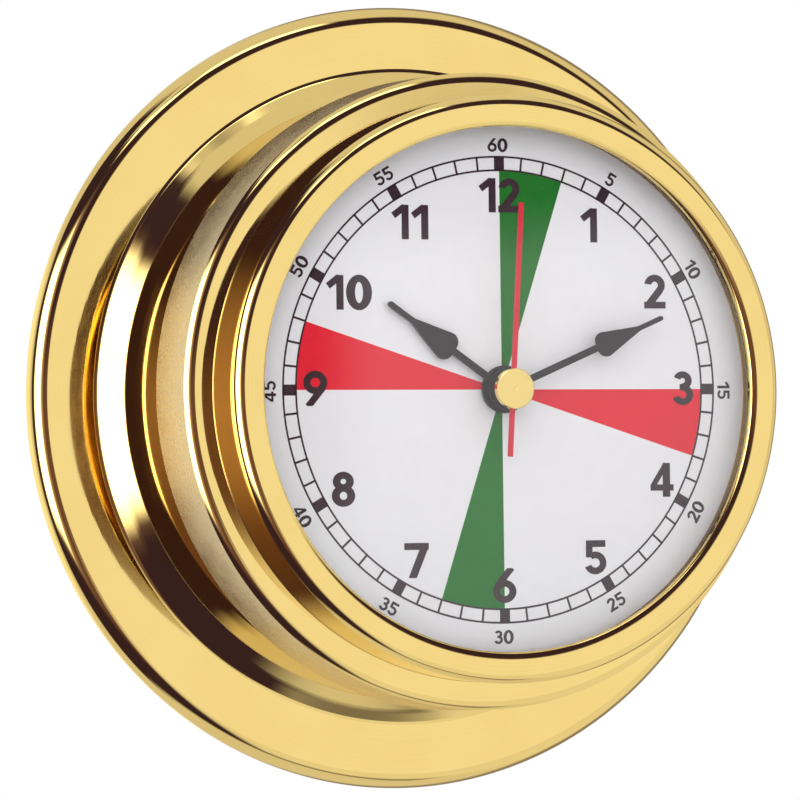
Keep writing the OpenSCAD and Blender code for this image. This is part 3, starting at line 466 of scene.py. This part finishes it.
bm = bmesh.new()
for radius in (track_inner_r, track_outer_r):
    bow(bm, (0, 0), radius, track_line, 0, 360, 360)
for minute in range(60):
    bar(bm, clock_point(track_inner_r, 6 * minute), clock_point(track_outer_r, 6 * minute),
        tick_w if minute % 5 else block_w)
printed("minute_track", bm, 2, black_ink)


def hoop(bm, centre, outer, inner):
    """Closed oval ring between two ovals, each given by its width and height."""
    before = set(bm.verts)
    bow(bm, centre, 1.5, 1.0, 0, 360, 48)
    for vert in set(bm.verts) - before:
        arm = vert.co - Vector((*centre, 0))
        width, height = outer if arm.length > 1.5 else inner
        arm.normalize()
        vert.co = Vector((centre[0] + arm.x * width / 2, centre[1] + arm.y * height / 2, 0))


def hook(bm, centre, reach, stroke, start, end):
    """Open part of an oval ring, given by its outer half width and half height."""
    before = set(bm.verts)
    bow(bm, centre, reach[1] - stroke / 2, stroke, start, end, 32)
    bmesh.ops.scale(
        bm, verts=list(set(bm.verts) - before), vec=(reach[0] / reach[1], 1, 1),
        space=Matrix.Translation((-centre[0], -centre[1], 0)),
    )


figure_width = {
    "0": 0.80, "1": 0.55, "2": 0.69, "3": 0.67, "4": 0.745,
    "5": 0.71, "6": 0.74, "7": 0.76, "8": 0.72, "9": 0.74,
}


def figure_strokes(bm, figure, weight):
    """Strokes of one figure of a bold plain face, one after another, of height 1 with its foot on the line."""
    if figure == "0":
        yield hoop(bm, (0.40, 0.5), (0.80, 1.03), (0.80 - 0.50 * weight, 1.03 - 0.38 * weight))
    elif figure == "1":
        yield bar(bm, (0.42, 0), (0.42, 1), 0.2 * weight)
        yield bar(bm, (0.05, 0.685), (0.40, 0.945), 0.18 * weight)
    elif figure == "2":
        yield hook(bm, (0.345, 0.69), (0.33, 0.31), 0.19 * weight, -42, 172)
        yield bar(bm, (0.515, 0.55), (0.13, 0.09), 0.205 * weight)
        yield bar(bm, (0, 0.09 * weight), (0.69, 0.09 * weight), 0.18 * weight)
    elif figure == "3":
        yield hook(bm, (0.325, 0.725), (0.30, 0.275), 0.18 * weight, -90, 158)
        yield hook(bm, (0.325, 0.31), (0.34, 0.31), 0.18 * weight, -162, 90)
        yield bar(bm, (0.23, 0.535), (0.34, 0.535), 0.17 * weight)
    elif figure == "4":
        yield bar(bm, (0.515, 0), (0.515, 1), 0.215 * weight)
        yield bar(bm, (0, 0.275), (0.745, 0.275), 0.165 * weight)
        yield bar(bm, (0.50, 0.97), (0.063, 0.30), 0.15 * weight)
    elif figure == "5":
        yield hook(bm, (0.355, 0.335), (0.352, 0.335), 0.18 * weight, -158, 128)
        yield bar(bm, (0.07, 1 - 0.09 * weight), (0.683, 1 - 0.09 * weight), 0.18 * weight)
        yield bar(bm, (0.165, 1), (0.16, 0.50), 0.19 * weight)
    elif figure == "6":
        yield hoop(bm, (0.37, 0.335), (0.74, 0.67), (0.74 - 0.40 * weight, 0.67 - 0.36 * weight))
        yield bar(bm, (0.128, 0.47), (0.60, 1.03), 0.185 * weight)
    elif figure == "7":
        yield bar(bm, (0, 1 - 0.09 * weight), (0.76, 1 - 0.09 * weight), 0.18 * weight)
        yield bar(bm, (0.235, -0.04), (0.64, 0.90), 0.212 * weight)
    elif figure == "8":
        yield hoop(bm, (0.36, 0.725), (0.645, 0.56), (0.645 - 0.43 * weight, 0.56 - 0.37 * weight))
        yield hoop(bm, (0.36, 0.312), (0.72, 0.63), (0.72 - 0.445 * weight, 0.63 - 0.36 * weight))
    else:
        yield hoop(bm, (0.37, 0.665), (0.74, 0.67), (0.74 - 0.40 * weight, 0.67 - 0.36 * weight))
        yield bar(bm, (0.612, 0.53), (0.14, -0.03), 0.185 * weight)


def number(bm, text, height, weight, gap, place):
    """Plain number of the given height in mm, centred and then moved to its place."""
    word = bmesh.new()
    reach = 0.0
    for figure in text:
        before = set(word.verts)
        for lift, _ in enumerate(figure_strokes(word, figure, weight)):
            stroke = list(set(word.verts) - before)
            bmesh.ops.translate(word, verts=stroke, vec=(reach, 0, lift * stroke_lift))
            before.update(stroke)
        reach += figure_width[figure] + gap
    for line, side in ((-figure_trim, -1), (1 + figure_trim, 1)):
        bmesh.ops.bisect_plane(
            word, geom=list(word.verts) + list(word.edges) + list(word.faces),
            plane_co=(0, line, 0), plane_no=(0, side, 0), clear_outer=True,
        )
    bmesh.ops.translate(word, verts=word.verts, vec=(-(reach - gap) / 2, -0.5, 0))
    bmesh.ops.transform(word, verts=word.verts, matrix=place @ Matrix.Scale(height, 4))
    flat = bpy.data.meshes.new("word")
    word.to_mesh(flat)
    word.free()
    bm.from_mesh(flat)
    bpy.data.meshes.remove(flat)


stroke_lift, figure_trim = 0.0015, 0.012
hour_height, hour_weight, hour_gap = 3.95, 1.1, 0.06
hour_places = {
    1: (11.25, 19.05), 2: (19.5, 11.4), 3: (22.95, 0.1), 4: (20.1, -10.6),
    5: (11.45, -19.5), 6: (0.0, -22.6), 7: (-10.85, -19.5), 8: (-19.7, -11.3),
    9: (-22.95, 0.2), 10: (-18.7, 11.1), 11: (-11.1, 19.2), 12: (0.0, 22.4),
}
minute_height, minute_weight, minute_gap, minute_r = 1.57, 0.98, 0.06, 28.35
minute_shift = Vector((-0.16, -0.15, 0))

bm = bmesh.new()
for hour, place in hour_places.items():
    number(bm, str(hour), hour_height, hour_weight, hour_gap, Matrix.Translation((*place, 0)))
printed("hour_numerals", bm, 3, black_ink)

bm = bmesh.new()
for minute in range(5, 65, 5):
    flip = 180 if 20 <= minute <= 40 else 0
    number(bm, str(minute), minute_height, minute_weight, minute_gap,
           Matrix.Translation(Vector((*clock_point(minute_r, 6 * minute), 0)) + minute_shift)
           @ Matrix.Rotation(radians(flip - 6 * minute), 4, "Z"))
printed("minute_numbers", bm, 3, black_ink)


# Spacer. A thin ring of brass strip between the dial and the crystal, dull so that it does not mirror the
# dial, and dark brown as painted shade for the shadowed gap under the lip. The bezel's lip presses the crystal
# down on it.
# The spacer's dark brown is painted shade, not the colour of gilt brass.
shaded_spacer_brown = surface("spacer_painted_shade", (0.34, 0.22, 0.115), (0.40, 0.27, 0.15), 0.8, (0.4, 0.5), 1.0, 0.02)
dress(shaded_spacer_brown, "dial_spacer")


# Hands. Stamped from thin sheet: black spade hands for hours and minutes, a red baton with a tail
# for seconds, and a turned brass cap that is pressed over the middle.
hand_black = surface(
    "hand_black", (0.030, 0.022, 0.026), (0.040, 0.030, 0.034), 0.5, (0.3, 0.4), Specular_IOR_Level=0.15)
hand_red = surface(
    "hand_red", (0.70, 0.020, 0.045), (0.76, 0.026, 0.055), 0.5, (0.3, 0.4), Specular_IOR_Level=0.15)
dress(hand_black, "hour_hand", "minute_hand")
dress(hand_red, "second_hand")

cap_low, cap_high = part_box("second_hand_cap")
cap_r = cap_high.x / mm
cap_back, cap_front = -cap_high.y / mm, -cap_low.y / mm
dimple_r, dimple_round, cap_round = 0.2, 0.05, 0.22
bm = bmesh.new()
cap = turned("cap", [
    corner(bm, 0, cap_back),
    corner(bm, cap_r, cap_back),
    corner(bm, cap_r, cap_front, cap_round),
    corner(bm, dimple_r, cap_front, dimple_round),
    corner(bm, 0, cap_front - dimple_r),
], bm, 96, brass)
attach(cap, "second")
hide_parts("second_hand_cap")


# Crystal. Pressed glass, shallowly domed, with a flat rim that the bezel's lip holds down on the spacer.
# The dome clears the second hand and its cap.
glass = surface(
    "crystal_glass", (1, 1, 1), (0.99, 1, 0.995), 8, (0.0, 0.012), Transmission_Weight=1.0, IOR=1.45)
glass_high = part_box("crystal")[1]
rim_r = glass_high.x / mm
rim_back_h, rim_front_h = -glass_high.y / mm, 34.1
glass_t, glass_edge_r, glass_bend_r = 0.65, 30.6, 168.0
inner_apex_h, front_inset, dome_steps = 36.61, 0.1, 16


def dome(bm, apex_h, edge_r, reverse=False):
    """Corners of a shallow round dome from the hands' axis to a radius."""
    radii = [edge_r * k / dome_steps for k in range(dome_steps + 1)]
    if reverse:
        radii.reverse()
    return [corner(bm, r, apex_h - r * r / (2 * glass_bend_r)) for r in radii]


bm = bmesh.new()
crystal = turned("crystal", [
    *dome(bm, inner_apex_h, glass_edge_r),
    corner(bm, glass_edge_r, rim_back_h),
    corner(bm, rim_r, rim_back_h),
    corner(bm, rim_r, rim_front_h),
    corner(bm, glass_edge_r, rim_front_h),
    *dome(bm, inner_apex_h + glass_t, glass_edge_r - front_inset, True),
], bm, 192, glass)
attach(crystal, "case")
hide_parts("crystal")


# Bezel. Turned from heavy brass tube and polished: a skirt that is pushed over the spigot, a step,
# and the front ring whose lip holds the crystal, the spacer and the dial.
bezel_low, bezel_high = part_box("bezel")
skirt_foot_r = bezel_high.x / mm
lip_front = -bezel_low.y / mm
skirt_top_r, skirt_bore_r, step_h, shoulder_h = 37.05, 36.0, 27.5, 26.3
ring_r, ring_bore_r, lip_r, lip_edge_h, lip_back = 33.8, 32.3, 30.2, 35.11, 34.6
step_rise, foot_round, step_root_round, lip_edge_round = 0.15, 0.18, 0.1, 0.36
step_flat_r, step_round = 35.7, 2.0
ring_flat_r, ring_round = 32.55, 1.5
lip_flat_r, lip_fall_r, lip_round = 31.41, 30.44, 2.6
shoulder_steps = 10
satin_start_h = drum_h + 0.2


def shoulder(bm, flat_r, edge_r, height, rounding, reverse=False):
    """Rounded shoulder from a flat front to the radius where the next wall cuts it."""
    side = 1 if edge_r > flat_r else -1
    last = asin(abs(edge_r - flat_r) / rounding)
    angles = [last * k / shoulder_steps for k in range(shoulder_steps + 1)]
    if reverse:
        angles.reverse()
    return [
        corner(bm, flat_r + side * rounding * sin(angle), height - rounding * (1 - cos(angle)))
        for angle in angles
    ]


satin_brass = surface(
    "satin_brass", (0.70, 0.555, 0.305), (0.74, 0.59, 0.33), 3, (0.24, 0.3), 1.0, 0.002)

bm = bmesh.new()
bezel = turned("bezel", [
    corner(bm, skirt_bore_r, drum_h),
    corner(bm, skirt_foot_r, drum_h, foot_round),
    *shoulder(bm, step_flat_r, skirt_top_r, step_h, step_round, True),
    corner(bm, ring_r, step_h + step_rise, step_root_round),
    *shoulder(bm, ring_flat_r, ring_r, lip_front, ring_round, True),
    *shoulder(bm, lip_flat_r, lip_fall_r, lip_front, lip_round),
    corner(bm, lip_r, lip_edge_h, lip_edge_round),
    corner(bm, lip_r, lip_back),
    corner(bm, ring_bore_r, lip_back),
    corner(bm, ring_bore_r, shoulder_h),
    corner(bm, skirt_bore_r, shoulder_h),
], bm, 256, brass, satin_brass)
for face in bezel.data.polygons:
    outside = hypot(face.center.x, face.center.z) > skirt_top_r * mm
    if outside and -face.center.y > satin_start_h * mm:
        face.material_index = 1
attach(bezel, "case")
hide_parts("bezel")
